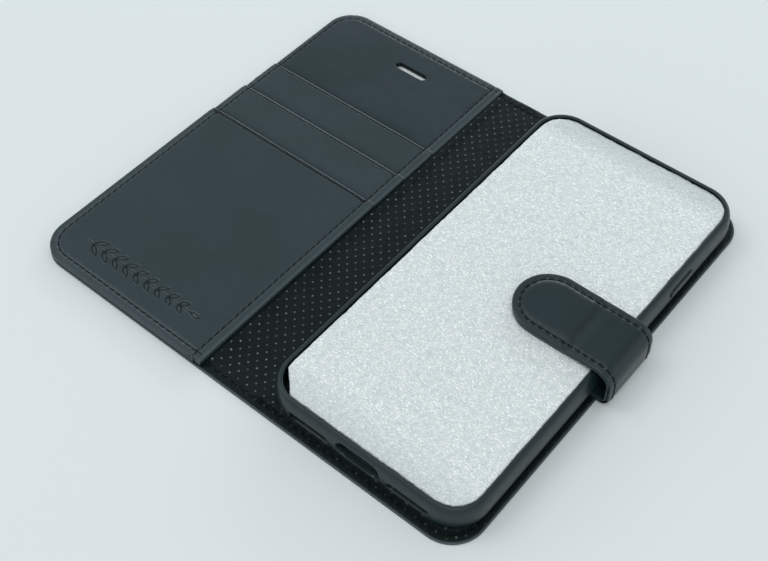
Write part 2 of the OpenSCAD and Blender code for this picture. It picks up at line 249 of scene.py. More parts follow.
def plate(name, poly, top, bottom, material, round_top=0.25, round_bottom=0.2, holes=(), hole_round=0.2,
          step=3.0, extra=(), open_edge=None, place=None, sharp=42, ruled=None, painted_light=None, under=-0.8):
    """A sheet with rounded edges. top and bottom give heights from x, y and the distance to the edge.
    open_edge says which edges carry on into another piece, so that they stay square. ruled says where only
    the extra points are wanted, so that their rows give even triangles. The argument after ruled paints light
    on
    the upper face: below 0 painted shade, above 0 painted highlight. under is the lower face's, by default
    painted shade."""
    edge = dense(np.asarray(poly, float), step)
    keep = None
    if open_edge:
        middle = (edge + np.roll(edge, -1, 0)) / 2
        keep = np.array([not open_edge(*m) for m in middle])
    holes = [dense(np.asarray(h, float), 1.0) for h in holes]
    r = max(round_top, round_bottom)
    loose = [offset(edge, d * r) for d in (0.12, 0.35, 0.65, 1, 2.2)]
    loose += [offset(h, -d * hole_round) for h in holes for d in (0.15, 0.4, 0.7, 1.0, 2.5)]
    lo, hi = edge.min(0), edge.max(0)
    nx, ny = ((hi - lo) / step).astype(int) + 1
    gx, gy = np.meshgrid(np.linspace(lo[0], hi[0], nx + 1), np.linspace(lo[1], hi[1], ny + 1))
    gx = gx + (np.arange(ny + 1) % 2)[:, None] * 0.4 * step
    loose.append(np.column_stack([gx.ravel(), gy.ravel()]))
    if ruled:
        loose = [part[~ruled(*part.T)] for part in loose]
    loose += [np.asarray(e, float).reshape(-1, 2) for e in extra if len(e)]
    loose = np.vstack(loose[::-1])
    ok = inside(loose, edge) & (distance(loose, edge) > 0.08 * r)
    for h in holes:
        ok &= ~inside(loose, h) & (distance(loose, h) > 0.1 * hole_round)
    flat, tris, _ = triangulate([edge] + holes, loose[ok], 0.04)
    centre = flat[tris].mean(1)
    ok = inside(centre, edge)
    for h in holes:
        ok &= ~inside(centre, h)
    tris = tris[ok]
    p, q, s = flat[tris.T]
    flip = (q - p)[:, 0] * (s - p)[:, 1] - (q - p)[:, 1] * (s - p)[:, 0] < 0
    tris[flip] = tris[flip][:, ::-1]
    used = np.unique(tris)
    renumber = np.full(len(flat), -1)
    renumber[used] = np.arange(len(used))
    flat, tris = flat[used], renumber[tris]
    x, y = flat.T
    d = distance(flat, edge, keep)
    upper = top(x, y, d) - fillet(d, round_top)
    lower = bottom(x, y, d) + fillet(d, round_bottom)
    for h in holes:
        dh = distance(flat, h)
        upper = upper - fillet(dh, hole_round)
        lower = lower + fillet(dh, hole_round)
    upper = np.maximum(upper, lower + 0.02)
    n = len(flat)
    rest = np.vstack([np.column_stack([x, y, upper]), np.column_stack([x, y, lower])])
    faces = tris.tolist() + (tris[:, ::-1] + n).tolist()
    sides = set()
    for i, j, k in tris.tolist():
        sides.update(((i, j), (j, k), (k, i)))
    faces += [(i, i + n, j + n, j) for i, j in sorted(sides) if (j, i) not in sides]
    shade = np.concatenate([painted_light(x, y, d), 0 * x + under]) if painted_light else None
    return build(name, place(rest) if place else rest, faces, material, rest, sharp, shade)


def face_outward(obj, weld=0.0):
    """Turns the faces outward. Vertices nearer than weld, in metres, become one first."""
    bm = bmesh.new()
    bm.from_mesh(obj.data)
    if weld:
        bmesh.ops.remove_doubles(bm, verts=bm.verts, dist=weld)
    bmesh.ops.recalc_face_normals(bm, faces=bm.faces)
    bm.to_mesh(obj.data)
    bm.free()


def hand_over(piece, nodes=(), body=None):
    """Hides the CAD nodes that the piece stands for and hangs it on the body that it rides."""
    if nodes:
        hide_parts(*nodes)
    if body:
        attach(piece, body)


def bend(piece):
    """Bakes the piece's transform into its mesh."""
    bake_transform(piece)


# ---------------- stitches


def stitches_on(path, pitch=PITCH):
    """(middle, direction, length) of each stitch along an open line."""
    path = np.asarray(path, float)
    seg = np.hypot(*np.diff(path, axis=0).T)
    along = np.concatenate([[0], np.cumsum(seg)])
    n = max(1, round(along[-1] / pitch))
    pitch = along[-1] / n
    out = []
    for i in range(n):
        s0, s1 = (i + 0.16) * pitch, (i + 0.84) * pitch
        p = np.array([np.interp(s0, along, path[:, k]) for k in (0, 1)])
        q = np.array([np.interp(s1, along, path[:, k]) for k in (0, 1)])
        out.append(((p + q) / 2, (q - p) / max(np.hypot(*(q - p)), 1e-9), float(np.hypot(*(q - p)))))
    return out


def needle_holes(stitches):
    return np.array([c + k * d * (length / 2 + 0.15) for c, d, length in stitches for k in (-1, 1)])


def dips(holes, depth=0.36, width=0.4):
    """Height change round needle holes."""
    def drop(x, y):
        out = np.zeros(len(x))
        for hx, hy in holes:
            near = (abs(x - hx) < 1.2) & (abs(y - hy) < 1.2)
            out[near] += depth * np.exp(-(((x[near] - hx) ** 2 + (y[near] - hy) ** 2) / width**2))
        return np.minimum(out, depth)
    return drop


def ring_points(centres, radii=(0.22, 0.45, 0.8)):
    """Each centre, with rings of 8 points round it."""
    out = []
    for cx, cy in centres:
        out.append((cx, cy))
        for r in radii:
            out += arc(cx, cy, r, 0, 315, 7)
    return np.array(out)


def offset_line(line, d):
    """An open line moved d to its left."""
    t = np.gradient(np.asarray(line), axis=0)
    t = t / np.maximum(np.hypot(*t.T), 1e-9)[:, None]
    return line + d * np.column_stack([-t[:, 1], t[:, 0]])


def thread(name, stitches, height, r=0.25, place=None, flip=1):
    """Stitches as short tubes whose ends sink into the needle holes."""
    verts, faces = [], []
    rings, around = 7, 7
    for c, d, length in stitches:
        tilt = math.radians(random.uniform(3, 7))
        c_tilt, s_tilt = math.cos(tilt), math.sin(tilt)
        t = np.array([d[0] * c_tilt - d[1] * s_tilt, d[0] * s_tilt + d[1] * c_tilt])
        across = np.array([-t[1], t[0]])
        at = len(verts)
        for i in range(rings):
            u = -1 + 2 * i / (rings - 1)
            p = c + t * u * (length / 2 + 0.1)
            z = float(height(p[:1], p[1:])[0]) + flip * (0.1 - 0.3 * abs(u) ** 5)
            w = r * (1 - 0.25 * u * u)
            for k in range(around):
                a = 2 * math.pi * k / around
                verts.append((*(p + across * w * math.cos(a) * 1.15), z + w * math.sin(a) * 0.85))
        for i in range(rings - 1):
            for k in range(around):
                a, b = at + i * around + k, at + i * around + (k + 1) % around
                faces.append((a, b, b + around, a + around))
        faces.append(tuple(at + k for k in range(around))[::-1])
        faces.append(tuple(at + (rings - 1) * around + k for k in range(around)))
    rest = np.array(verts)
    obj = build(name, place(rest) if place else rest, faces, THREAD, rest, 60)
    face_outward(obj)
    return obj


# ---------------- materials


class Nodes:
    """A short way to write a node material."""

    def __init__(self, name):
        self.m = bpy.data.materials.new(name)
        self.m.use_nodes = True
        self.t = self.m.node_tree
        self.bsdf = self.t.nodes["Principled BSDF"]

    def add(self, kind, ins=None, **props):
        n = self.t.nodes.new(kind)
        for k, v in props.items():
            setattr(n, k, v)
        for k, v in (ins or {}).items():
            self.put(n.inputs[k], v)
        return n

    def put(self, socket, v):
        if hasattr(v, "is_output"):
            self.t.links.new(v, socket)
        else:
            socket.default_value = v

    def maths(self, op, a, b=0.0, c=0.0):
        n = self.add("ShaderNodeMath", {0: a, 1: b, 2: c}, operation=op)
        return n.outputs[0]

    def times(self, a, b):
        return self.maths("MULTIPLY", a, b)

    def stored(self, name):
        """The outputs of a value stored on the mesh's points."""
        return self.add("ShaderNodeAttribute", attribute_name=name, attribute_type="GEOMETRY").outputs

    def rest(self):
        return self.stored("rest")["Vector"]

    def noise(self, vector, scale, detail=2.0, rough=0.5):
        ins = {"Vector": vector, "Scale": scale, "Detail": detail, "Roughness": rough}
        return self.add("ShaderNodeTexNoise", ins).outputs["Fac"]

    def cells(self, vector, scale, feature="F1"):
        ins = {"Vector": vector, "Scale": scale}
        return self.add("ShaderNodeTexVoronoi", ins, feature=feature).outputs["Distance"]

    def span(self, value, a, b, c, d):
        """The value, with the range a to b carried over to c to d."""
        ins = {"Value": value, "From Min": a, "From Max": b, "To Min": c, "To Max": d}
        return self.add("ShaderNodeMapRange", ins).outputs["Result"]

    def mix(self, fac, a, b):
        n = self.add("ShaderNodeMix", data_type="RGBA")
        self.put(n.inputs[0], fac)
        self.put(n.inputs[6], a if hasattr(a, "is_output") else (*a, 1))
        self.put(n.inputs[7], b if hasattr(b, "is_output") else (*b, 1))
        return n.outputs[2]

    def bump(self, height, strength, mm, under=None):
        ins = {"Height": height, "Strength": strength, "Distance": mm * 0.001}
        n = self.add("ShaderNodeBump", ins)
        if under is not None:
            self.put(n.inputs["Normal"], under)
        return n.outputs["Normal"]

    def set(self, **ins):
        for k, v in ins.items():
            self.put(self.bsdf.inputs[k.replace("_", " ")], v)
        return self.m


def leather(name, dark, light, rough=0.4, grain=0.5):
    n = Nodes(name)
    v = n.rest()
    pebble = n.cells(v, 2.6, "SMOOTH_F1")
    # Painted light from the stored value: above 0 the colour mixes towards a pale blue grey as a painted
    # highlight; below 0 it mixes towards near black as a painted shade, with a lower specular level.
    painted_light = n.stored("painted_light")["Fac"]
    pressed = n.span(painted_light, 0, -1, 0, 1)
    colour = n.mix(n.span(n.noise(v, 0.03), 0.35, 0.65, 0, 1), dark, light)
    colour = n.mix(n.span(painted_light, 0, 1, 0, 1), colour, (0.062, 0.083, 0.09))
    colour = n.mix(pressed, colour, (0.0015, 0.003, 0.0035))
    roughness = n.span(n.noise(v, 0.25, 3.0), 0.3, 0.7, rough - 0.03, rough + 0.04)
    normal = n.bump(pebble, 0.25 * grain, 0.02)
    normal = n.bump(n.noise(v, 9.0), 0.25 * grain, 0.01, normal)
    shine = n.span(pressed, 0, 1, 0.36, 0.05)
    return n.set(Base_Color=colour, Roughness=roughness, Normal=normal, Specular_IOR_Level=shine)


def dotted_lining(name):
    n = Nodes(name)
    v = n.rest()
    xyz = n.add("ShaderNodeSeparateXYZ", {0: v})

    def from_row(axis, pitch, shift):
        """Distance along one axis from the nearest row of dots."""
        place = n.maths("ADD", n.maths("DIVIDE", xyz.outputs[axis], pitch), 0.5 + shift)
        return n.times(n.maths("SUBTRACT", n.maths("FRACT", place), 0.5), pitch)

    near = None
    for shift in (0.0, 0.5):
        u, w = from_row(0, DOT_X, shift), from_row(1, DOT_Y, shift)
        d = n.maths("SQRT", n.maths("ADD", n.times(u, u), n.times(w, w)))
        near = d if near is None else n.maths("MINIMUM", near, d)
    ragged = n.maths("ADD", near, n.span(n.noise(v, 4.0), 0.2, 0.8, -0.1, 0.1))
    dot = n.span(ragged, 0.2, 0.44, 1, 0)
    patchy = n.span(n.noise(v, 0.7, 3.0), 0.36, 0.64, 0.2, 1.0)
    # Painted shade: the dots are dimmed near the top and bottom edges and near the back cover's outer edge.
    rim = n.span(n.maths("ABSOLUTE", xyz.outputs[1]), HALF - 4.0, HALF - 2.5, 1.0, 0.3)
    rim = n.times(rim, n.span(xyz.outputs[0], BACK - 4.0, BACK - 2.5, 1.0, 0.2))
    weave = n.noise(v, 5.0, 4.0, 0.7)
    dust = n.span(n.noise(v, 3.0, 5.0, 0.8), 0.62, 0.74, 0, 0.5)
    dust = n.times(dust, n.span(n.noise(v, 0.12, 1.0), 0.5, 0.65, 0, 1))
    broad = n.span(n.noise(v, 0.08, 3.0), 0.3, 0.7, 0, 1)
    base = n.mix(broad, (0.0020, 0.0056, 0.0054), (0.0042, 0.0092, 0.0088))
    base = n.mix(dust, base, (0.08, 0.09, 0.09))
    colour = n.mix(n.times(n.times(dot, patchy), rim), base, (0.17, 0.2, 0.2))
    return n.set(Base_Color=colour, Roughness=n.span(weave, 0.3, 0.7, 0.5, 0.68),
                 Normal=n.bump(weave, 0.5, 0.08), Specular_IOR_Level=0.14)


def moulded(name, dark, light, rough):
    n = Nodes(name)
    v = n.rest()
    colour = n.mix(n.span(n.noise(v, 0.06), 0.3, 0.7, 0, 1), dark, light)
    roughness = n.span(n.noise(v, 0.5, 4.0), 0.3, 0.7, rough - 0.04, rough + 0.05)
    normal = n.bump(n.noise(v, 7.0), 0.12, 0.02)
    return n.set(Base_Color=colour, Roughness=roughness, Normal=normal, Specular_IOR_Level=0.42)


def foam_look(name):
    n = Nodes(name)
    v = n.rest()
    along = n.add("ShaderNodeSeparateXYZ", {0: v}).outputs[1]
    mottle = n.noise(v, 0.45, 4.0, 0.65)
    colour = n.mix(n.span(mottle, 0.36, 0.66, 0, 1), (0.57, 0.608, 0.612), (0.69, 0.718, 0.718))
    # Painted highlights: white glints and sparkles mixed into the foam's colour.
    stretch = {"Vector": v, "Rotation": (0, 0, math.radians(38)), "Scale": (0.85, 1.9, 1.0)}
    streak = n.add("ShaderNodeMapping", stretch).outputs[0]
    painted_glint = n.span(n.noise(streak, 1.0, 2.0, 0.6), 0.575, 0.64, 0, 1)
    painted_sparkle = n.span(n.noise(v, 2.4, 1.0), 0.6, 0.68, 0, 0.8)
    colour = n.mix(n.maths("MAXIMUM", painted_glint, painted_sparkle), colour, (0.97, 0.985, 0.98))
    # Painted shade: the foam is darker towards the tray's top and bottom ends.
    colour = n.mix(n.span(along, TRAY_L - 15, TRAY_L - 3, 0, 0.7), colour, (0.36, 0.40, 0.41))
    colour = n.mix(n.span(along, -TRAY_L + 14, -TRAY_L + 3, 0, 0.35), colour, (0.36, 0.40, 0.41))
    normal = n.bump(n.cells(v, 0.85), 0.6, 0.3)
    normal = n.bump(n.cells(v, 1.9), 0.6, 0.18, normal)
    return n.set(Base_Color=colour, Roughness=n.span(mottle, 0.3, 0.7, 0.3, 0.45), Normal=normal,
                 Specular_IOR_Level=0.4, Coat_Weight=0.3, Coat_Roughness=0.25)


def thread_look(name, dark, light):
    n = Nodes(name)
    ins = {"Vector": n.rest(), "Scale": 1.6, "Distortion": 1.5}
    twist = n.add("ShaderNodeTexWave", ins, bands_direction="DIAGONAL").outputs["Fac"]
    return n.set(Base_Color=n.mix(twist, dark, light), Roughness=n.span(twist, 0, 1, 0.55, 0.65),
                 Normal=n.bump(twist, 0.7, 0.08), Specular_IOR_Level=0.2)


def plain(name, dark, light, rough, metal=0.0):
    """For hidden inner pieces, which carry no stored rest place."""
    n = Nodes(name)
    fac = n.noise(n.add("ShaderNodeTexCoord").outputs["Object"], 400.0, 3.0)
    roughness = n.span(fac, 0.3, 0.7, rough - 0.05, rough + 0.05)
    return n.set(Base_Color=n.mix(fac, dark, light), Roughness=roughness, Metallic=metal,
                 Normal=n.bump(fac, 0.2, 0.05))


LEATHER = leather("cover_leather", (0.0105, 0.0235, 0.0265), (0.0145, 0.0275, 0.037), 0.33)
SKIN = leather("outer_leather", (0.009, 0.020, 0.023), (0.013, 0.025, 0.030), 0.4, 1.6)
STRAP = leather("strap_leather", (0.0068, 0.0175, 0.0198), (0.0098, 0.021, 0.026), 0.32, 0.5)
LINING = dotted_lining("dotted_lining")
PLASTIC = moulded("tray_plastic", (0.0035, 0.0135, 0.0150), (0.0060, 0.0180, 0.0205), 0.36)
FOAM = foam_look("foam_sheet")
# The thread is drawn near black: partly its own dark colour and partly painted shade for the groove it sits
# in.
THREAD = thread_look("seam_thread", (0.0015, 0.0025, 0.003), (0.006, 0.009, 0.0105))
BOARD = plain("board", (0.11, 0.105, 0.095), (0.16, 0.15, 0.14), 0.8)
STEEL = plain("steel", (0.42, 0.43, 0.44), (0.5, 0.51, 0.52), 0.35, 1.0)
GLUE = plain("adhesive", (0.5, 0.48, 0.42), (0.6, 0.58, 0.52), 0.6)

# ---------------- seam lines


def front_seam(inset):
    """From the spine end of the bottom edge, round the free edge, to the spine end of the top edge."""
    x, y, r = FREE + inset, HALF - inset, CORNER - inset
    path = [(HEM - 0.7, -y)] + arc(x + r, -y + r, r, 270, 180, 8)
    path += arc(x + r, y - r, r, 180, 90, 8) + [(HEM - 0.7, y)]
    return dense_line(path, 2.0)


def back_seam(inset, half_sign):
    """From the fold, round one corner of the back cover, to the strap."""
    x, y, r = BACK - inset, HALF - inset, CORNER - inset
    path = [(BACK_FOLD + 1.2, -y)] + arc(x - r, -y + r, r, 270, 360, 8) + [(x, -STRAP_HALF - 1.2)]
    return dense_line([(a, b * -half_sign) for a, b in path], 2.0)


def spine_line(x0, x1, half_sign, step=2.0):
    """The straight stretch of a seam over the spine."""
    y = half_sign * (HALF - SEAM)
    return dense_line([(x0, y), (x1, y)], step)


FRONT_SEAM = stitches_on(front_seam(SEAM))
HEM_SEAM = stitches_on([(SEAM_HEM, -HALF + 1.4), (SEAM_HEM, HALF - 1.4)], 3.25)
FRONT_HOLES = needle_holes(FRONT_SEAM)
HEM_HOLES = needle_holes(HEM_SEAM)
FRONT_DIPS = dips(FRONT_HOLES)
HEM_DIPS = dips(HEM_HOLES, 0.32)

# ---------------- outer skin, in two halves that meet in mid-spine


def near_fold(fold):
    ys = np.arange(-HALF, HALF + 1, 3.0)
    return np.array([(fold + k, y) for k in np.arange(-3.0, 3.01, 0.5) for y in ys])


def skin_top(x, y, d):
    return 0.78 + 0.02 * wave(x, y, 30, 3)


SLOT_HOLE = obround(*SLOT)


def camera_hole(grow):
    x, y = TRAY_W - CAMERA_IN, TRAY_L - CAMERA_IN
    r = CAMERA_R + grow
    return rounded(x - CAMERA_W - grow, x + grow, y - CAMERA_L - grow, y + grow, r, r, 8)


def skin_rim_highlight(x, y, d):
    """A painted highlight along the turned edge."""
    return 0.75 * (1 - smooth(0.25, 0.9, d))


def left_of_mid(x, y):
    return x < MID + 0.01


def right_of_mid(x, y):
    return x > MID - 0.01


def outer_skin(name, x0, x1, r_left, r_right, hole, needles, fold, open_edge):
    drop = dips(needles, 0.14, 0.4)
    return plate(name, rounded(x0, x1, -HALF, HALF, r_left, r_right), skin_top, lambda x, y, d: drop(x, y),
                 SKIN, 0.3, 0.3, [hole], 0.25, 4.0, [near_fold(fold), ring_points(needles)],
                 open_edge=open_edge, painted_light=skin_rim_highlight, under=0)


FRONT_RUN = [(MID, -HALF + SEAM)] + list(front_seam(SEAM)[1:-1]) + [(MID, HALF - SEAM)]
OUT_FRONT = stitches_on(dense_line(FRONT_RUN, 2.0))
OUT_BACK = []
for s in (1, -1):
    OUT_BACK += stitches_on(dense_line([(MID, -s * (HALF - SEAM))] + list(back_seam(SEAM, s)[1:]), 2.0))

skin_front = outer_skin("outer_skin_front", FREE, MID, CORNER, 0, SLOT_HOLE, needle_holes(OUT_FRONT),
                        FRONT_FOLD, right_of_mid)
hand_over(skin_front, ["front_skin", "front_crease", "spine_skin"])
bend(skin_front)

skin_back = outer_skin("outer_skin_back", MID, BACK, 0, CORNER, camera_hole(0), needle_holes(OUT_BACK),
                       BACK_FOLD, left_of_mid)
hand_over(skin_back, ["back_skin", "back_crease"])
bend(skin_back)


# ---------------- lining, in two halves

LINING_Z = side("spine_lining", 1, 2)
LINING_UNDER = 0.8
LEDGE = 0.75
FRONT_LEDGE = 1.3
FRONT_RISE = side("front_lining", 1, 2) - LINING_Z
BACK_RISE = side("back_lining", 1, 2) - LINING_Z - 0.04
FRONT_LINING_SEAM = []
for s in (-1, 1):
    FRONT_LINING_SEAM += stitches_on(spine_line(FRONT_FOLD - 3.6, MID, s))
BACK_LINING_SEAM = []
for s in (-1, 1):
    BACK_LINING_SEAM += stitches_on(spine_line(MID, BACK_FOLD + 1.2, s))
for s in (1, -1):
    BACK_LINING_SEAM += stitches_on(back_seam(SEAM, s))
front_needles = needle_holes(FRONT_LINING_SEAM)
back_needles = needle_holes(BACK_LINING_SEAM)
front_needle_dips = dips(front_needles, 0.3)
back_needle_dips = dips(back_needles, 0.3)


def dots_between(x0, x1):
    """Centres of the pressed-out dots: a staggered lattice."""
    out = []
    for shift in (0.0, 0.5):
        for i in range(int(x0 / DOT_X) - 2, int(x1 / DOT_X) + 2):
            for j in range(int(-HALF / DOT_Y) - 1, int(HALF / DOT_Y) + 2):
                x, y = (i + shift) * DOT_X, (j + shift) * DOT_Y
                under_tray = abs(x) < TRAY_W - 3 and abs(y) < TRAY_L - 3
                if x0 < x < x1 and abs(y) < HALF - 1 and not under_tray:
                    out.append((x, y))
    return np.array(out)


def dot_bumps(x, y):
    """Height of the dots at each point."""
    near = 9.0
    for shift in (0.0, 0.5):
        u = (x / DOT_X - shift - np.round(x / DOT_X - shift)) * DOT_X
        w = (y / DOT_Y - shift - np.round(y / DOT_Y - shift)) * DOT_Y
        near = np.minimum(near, np.hypot(u, w))
    return 0.16 * (1 - smooth(0.1, 0.46, near))


def seam_groove(x, y, edge, way):
    return 0.16 * ridge(inward(x, y, edge, way) - SEAM, 0.55)


def lining_top(x, y, d, board, rise, loose):
    """loose is 1 where the lining may ripple."""
    ripple = 0.05 * wave(x, y, 24, 11) * smooth(0.5, 3, d) * loose
    return LINING_Z + rise * board + ripple + dot_bumps(x, y)


def lining_front_top(x, y, d):
    board = smooth(-FRONT_FOLD + 0.7, -FRONT_FOLD + 2.4, -x) * smooth(3.5, 4.3, HALF - abs(y))
    z = lining_top(x, y, d, board, FRONT_RISE, 1)
    return z - seam_groove(x, y, -999, 1) - front_needle_dips(x, y)


def lining_back_top(x, y, d):
    board = smooth(BACK_FOLD + 0.7, BACK_FOLD + 2.4, x) * smooth(3.5, 4.15, inward(x, y, BACK, -1))
    z = lining_top(x, y, d, board, BACK_RISE, 1 - board)
    return z - seam_groove(x, y, BACK, -1) - back_needle_dips(x, y)


def dot_points(x0, x1):
    return ring_points(dots_between(x0, x1), (0.16, 0.32, 0.5))


def seam_rows(*lines):
    gaps = (-1.2, -0.7, -0.35, 0.0, 0.35, 0.7, 1.2)
    return [offset_line(line, k) for line in lines for k in gaps]


def lining_half(name, outline, top, holes, hole_round, extra, open_edge):
    return plate(name, outline, top, lambda x, y, d: LINING_UNDER, LINING, 0.22, 0.1, holes, hole_round, 3.0,
                 extra, open_edge=open_edge)


spine_rows = seam_rows(*[spine_line(FRONT_FOLD - 4, BACK_FOLD + 1, s, 1.5) for s in (-1, 1)])
back_rows = seam_rows(back_seam(SEAM, 1), back_seam(SEAM, -1))
lining_y = HALF - LEDGE

lining_front = lining_half(
    "lining_front", rounded(FREE + FRONT_LEDGE, MID, -lining_y, lining_y, CORNER - FRONT_LEDGE, 0),
    lining_front_top, [obround(SLOT[0], SLOT[1], SLOT[2] - 0.1, SLOT[3] - 0.1)], 0.15,
    [near_fold(FRONT_FOLD), ring_points(front_needles), dot_points(HEM - 1, MID)] + spine_rows, right_of_mid)
hand_over(lining_front, ["front_lining", "spine_lining"])
bend(lining_front)

lining_back = lining_half(
    "lining_back", rounded(MID, BACK - LEDGE, -lining_y, lining_y, 0, CORNER - LEDGE),
    lining_back_top, [camera_hole(-0.05)], 0.2,
    [near_fold(BACK_FOLD), ring_points(back_needles), dot_points(MID, BACK)] + spine_rows + back_rows,
    left_of_mid)
hand_over(lining_back, ["back_lining"])
bend(lining_back)

# ---------------- card wallet

PANEL_INSETS = [1.3, 0.95, 0.6, 0.25]


def sprig_groove():
    """A debossed leaf sprig: depth at a point, and the points that draw it finely."""
    x0, y0 = FREE + 13.5, -HALF + 13.4
    leaves = []
    for i in range(9):
        for s in (-1, 1):
            leaves.append((x0 + 3 + i * 5.4, y0 + s * 0.3, s * 38 - 4 * s, 6.2 - 0.25 * i, 1.05))
    leaves.append((x0 + 51.5, y0, 0, 5.2, 1.05))

    def depth(x, y):
        out = np.zeros(len(x))
        near = (x > x0 - 2) & (x < x0 + 60) & (abs(y - y0) < 7)
        px, py = x[near], y[near]
        best = np.maximum(abs(py - y0) - 0.28, np.maximum(x0 - px, px - x0 - 52))
        for lx, ly, turn, length, half_w in leaves:
            c, s = math.cos(math.radians(turn)), math.sin(math.radians(turn))
            u = (px - lx) * c + (py - ly) * s - length / 2
            w = -(px - lx) * s + (py - ly) * c
            r = (length * length / 4 + half_w * half_w) / (2 * half_w)
            lens = np.maximum(np.hypot(u, w - (r - half_w)), np.hypot(u, w + (r - half_w))) - r
            best = np.minimum(best, np.abs(lens + 0.3) - 0.3)
        out[near] = 0.24 * smooth(0.18, -0.12, best)
        return out
    gx, gy = np.meshgrid(np.arange(x0 - 0.6, x0 + 57.6, 0.24), np.arange(y0 - 5.2, y0 + 5.21, 0.24))
    return depth, np.column_stack([gx.ravel(), gy.ravel()])


SPRIG, SPRIG_POINTS = sprig_groove()


def wallet_level(y):
    """Height of the stack's upper face at y, with a soft step at each mouth."""
    z = STACK + 0 * y
    for m in MOUTHS:
        z = z + LAYER * smooth(m + 0.25, m - 0.25, y)
    return z


CREST = 0.36
FOLD_R = 0.85
FOLD_DROP = 0.55
CREASES = {0: (1.2,), 1: (1.2,), 2: (1.0, 1.7)}


def between_seams(x):
    """1 in the free middle of a pocket mouth, and 0 where the seams hold it down."""
    return smooth(SEAM + 0.4, SEAM + 9, x - FREE) * smooth(0.4, 8, SEAM_HEM - x)


def layer_top(level, index, next_mouth):
    """Height of one layer. It falls towards the stitched edge, rises to a folded crest at its own mouth
    with pressed creases below it, and dips where the next layer's mouth lies on it."""
    def height(x, y, d):
        border = inward(x, y, FREE, 1)
        z = level + 0.05 * wave(x, y, 60, 20) * smooth(4, 12, border)
        z = z - 0.26 * (1 - smooth(0.3, SEAM - 0.6, border)) - 0.18 * ridge(border - SEAM, 0.45)
        z = z - 0.17 * ridge(x - SEAM_HEM, 0.42)
        if index >= 0:
            m = MOUTHS[index] - y
            z = z + CREST * (0.3 + 0.7 * between_seams(x)) * np.exp(-m / 3.0)
            z = z - FOLD_DROP * np.maximum(1 - m / FOLD_R, 0) ** 2
            for crease in CREASES[index]:
                z = z - 0.2 * ridge(m - crease, 0.27)
        if next_mouth is not None:
            z = z - 0.2 * between_seams(x) * np.exp(-np.maximum(y - next_mouth, 0) / 1.5)
        return z - FRONT_DIPS(x, y) - HEM_DIPS(x, y)
    return height


def layer_painted_light(index, next_mouth):
    """Painted light on one layer: painted shade in the seams, in the crease below a mouth and before the next
    mouth;
    painted highlights on the folded crest, on the border beside the seam, between the stitches and broadly
    over each pocket."""
    def shade(x, y, d):
        border = inward(x, y, FREE, 1)
        out = -0.12 * ridge(border - SEAM, 0.4) - 0.12 * ridge(x - SEAM_HEM, 0.4)
        out = out + 0.6 * ridge(border - SEAM + 0.7, 0.3) + 1.3 * (FRONT_DIPS(x, y) + HEM_DIPS(x, y))
        if index >= 0:
            m = MOUTHS[index] - y
            out = out + (0.16, 0.2, 0.15)[index] + 0.8 * ridge(m - 0.3, 0.42)
            for crease in CREASES[index]:
                out = out - 1.3 * ridge(m - crease, 0.3)
        if next_mouth is not None:
            out = out - 0.6 * np.exp(-np.maximum(y - next_mouth, 0) / 0.8)
        return np.clip(out, -1, 1)
    return shade


ROW_X = np.arange(FREE + 2, SEAM_HEM, 1.5)
ROW_Y = np.arange(-HALF, HALF, 1.5)


def rows_across(m, gaps):
    """Rows of points along x, each a gap below m."""
    return np.array([(x, m - k) for k in gaps for x in ROW_X])


def rows_along(x, gaps):
    """Rows of points along y, each a gap to the right of x."""
    return np.array([(x + k, y) for k in gaps for y in ROW_Y])


def in_mouth_bands(x, y):
    near = np.zeros(len(x), bool)
    for m in MOUTHS:
        near |= (m - y < 4.3) & (y - m < 4.6)
    return near & (x > FREE + SEAM + 1) & (x < SEAM_HEM - 1)


def front_layer(name, index, holes=()):
    """index -1 is the base panel, and 0 to 2 are the card pockets."""
    inset = PANEL_INSETS[index + 1]
    right = SEAM_HEM + 0.9
    y = HALF - min(inset, 0.5)
    poly = rounded(FREE + inset, right, -y, y, CORNER - inset, 0)
    mouth = MOUTHS[index] if index >= 0 else None
    next_mouth = MOUTHS[index + 1] if index < 2 else None
    level = STACK + (index + 1) * LAYER
    floor_z = level - LAYER if index >= 0 else PANEL_UNDER
    extra = [ring_points(FRONT_HOLES), ring_points(HEM_HOLES)] + seam_rows(front_seam(SEAM))
    extra.append(rows_along(SEAM_HEM, (-1.8, -1.2, -0.8, -0.4, 0, 0.4)))
    if mouth is not None:
        rim = [(x, mouth) for x in ROW_X[::-1] if x > FREE + inset + 0.6]
        poly = np.array([p for p in poly if p[1] < mouth] + [(right, mouth)] + rim
                        + [(FREE + inset + 0.3, mouth), (FREE + inset, mouth - 0.3)])
        extra.append(rows_across(mouth, [*np.arange(0.1, 2.7, 0.1), 2.9, 3.2, 3.6, 4.1]))
    if next_mouth is not None:
        extra.append(rows_across(next_mouth, (2.5, 1.2, 0.4, 0, -0.4, -0.8, -1.3, -2, -3, -4.4)))
    plain_top, plain_painted_light = layer_top(level, index, next_mouth), layer_painted_light(index, next_mouth)
    pressed = SPRIG if index == 2 else lambda x, y: 0
    if index == 2:
        extra.append(SPRIG_POINTS)
    # The sprig is pressed into the top, and its groove also gets a painted shade.
    return plate(name, poly, lambda x, y, d: plain_top(x, y, d) - pressed(x, y),
                 lambda x, y, d: np.where(inward(x, y, FREE, 1) < 2.2, LINING_Z + 0.1, floor_z - 0.12),
                 LEATHER, 0.3, 0.1, holes, 0.3, 2.5, extra,
                 open_edge=lambda x, y: x > right - 0.05 or (mouth is not None and y > mouth - 0.05),
                 ruled=in_mouth_bands, painted_light=lambda x, y, d: plain_painted_light(x, y, d) - 3.0 * pressed(x, y))


for name, index, holes in (("wallet_panel", -1, [SLOT_HOLE]), ("card_pocket_1", 0, ()),
                           ("card_pocket_2", 1, ()), ("card_pocket_3", 2, ())):
    hand_over(front_layer(name + "_leather", index, holes), [name], "front_cover")


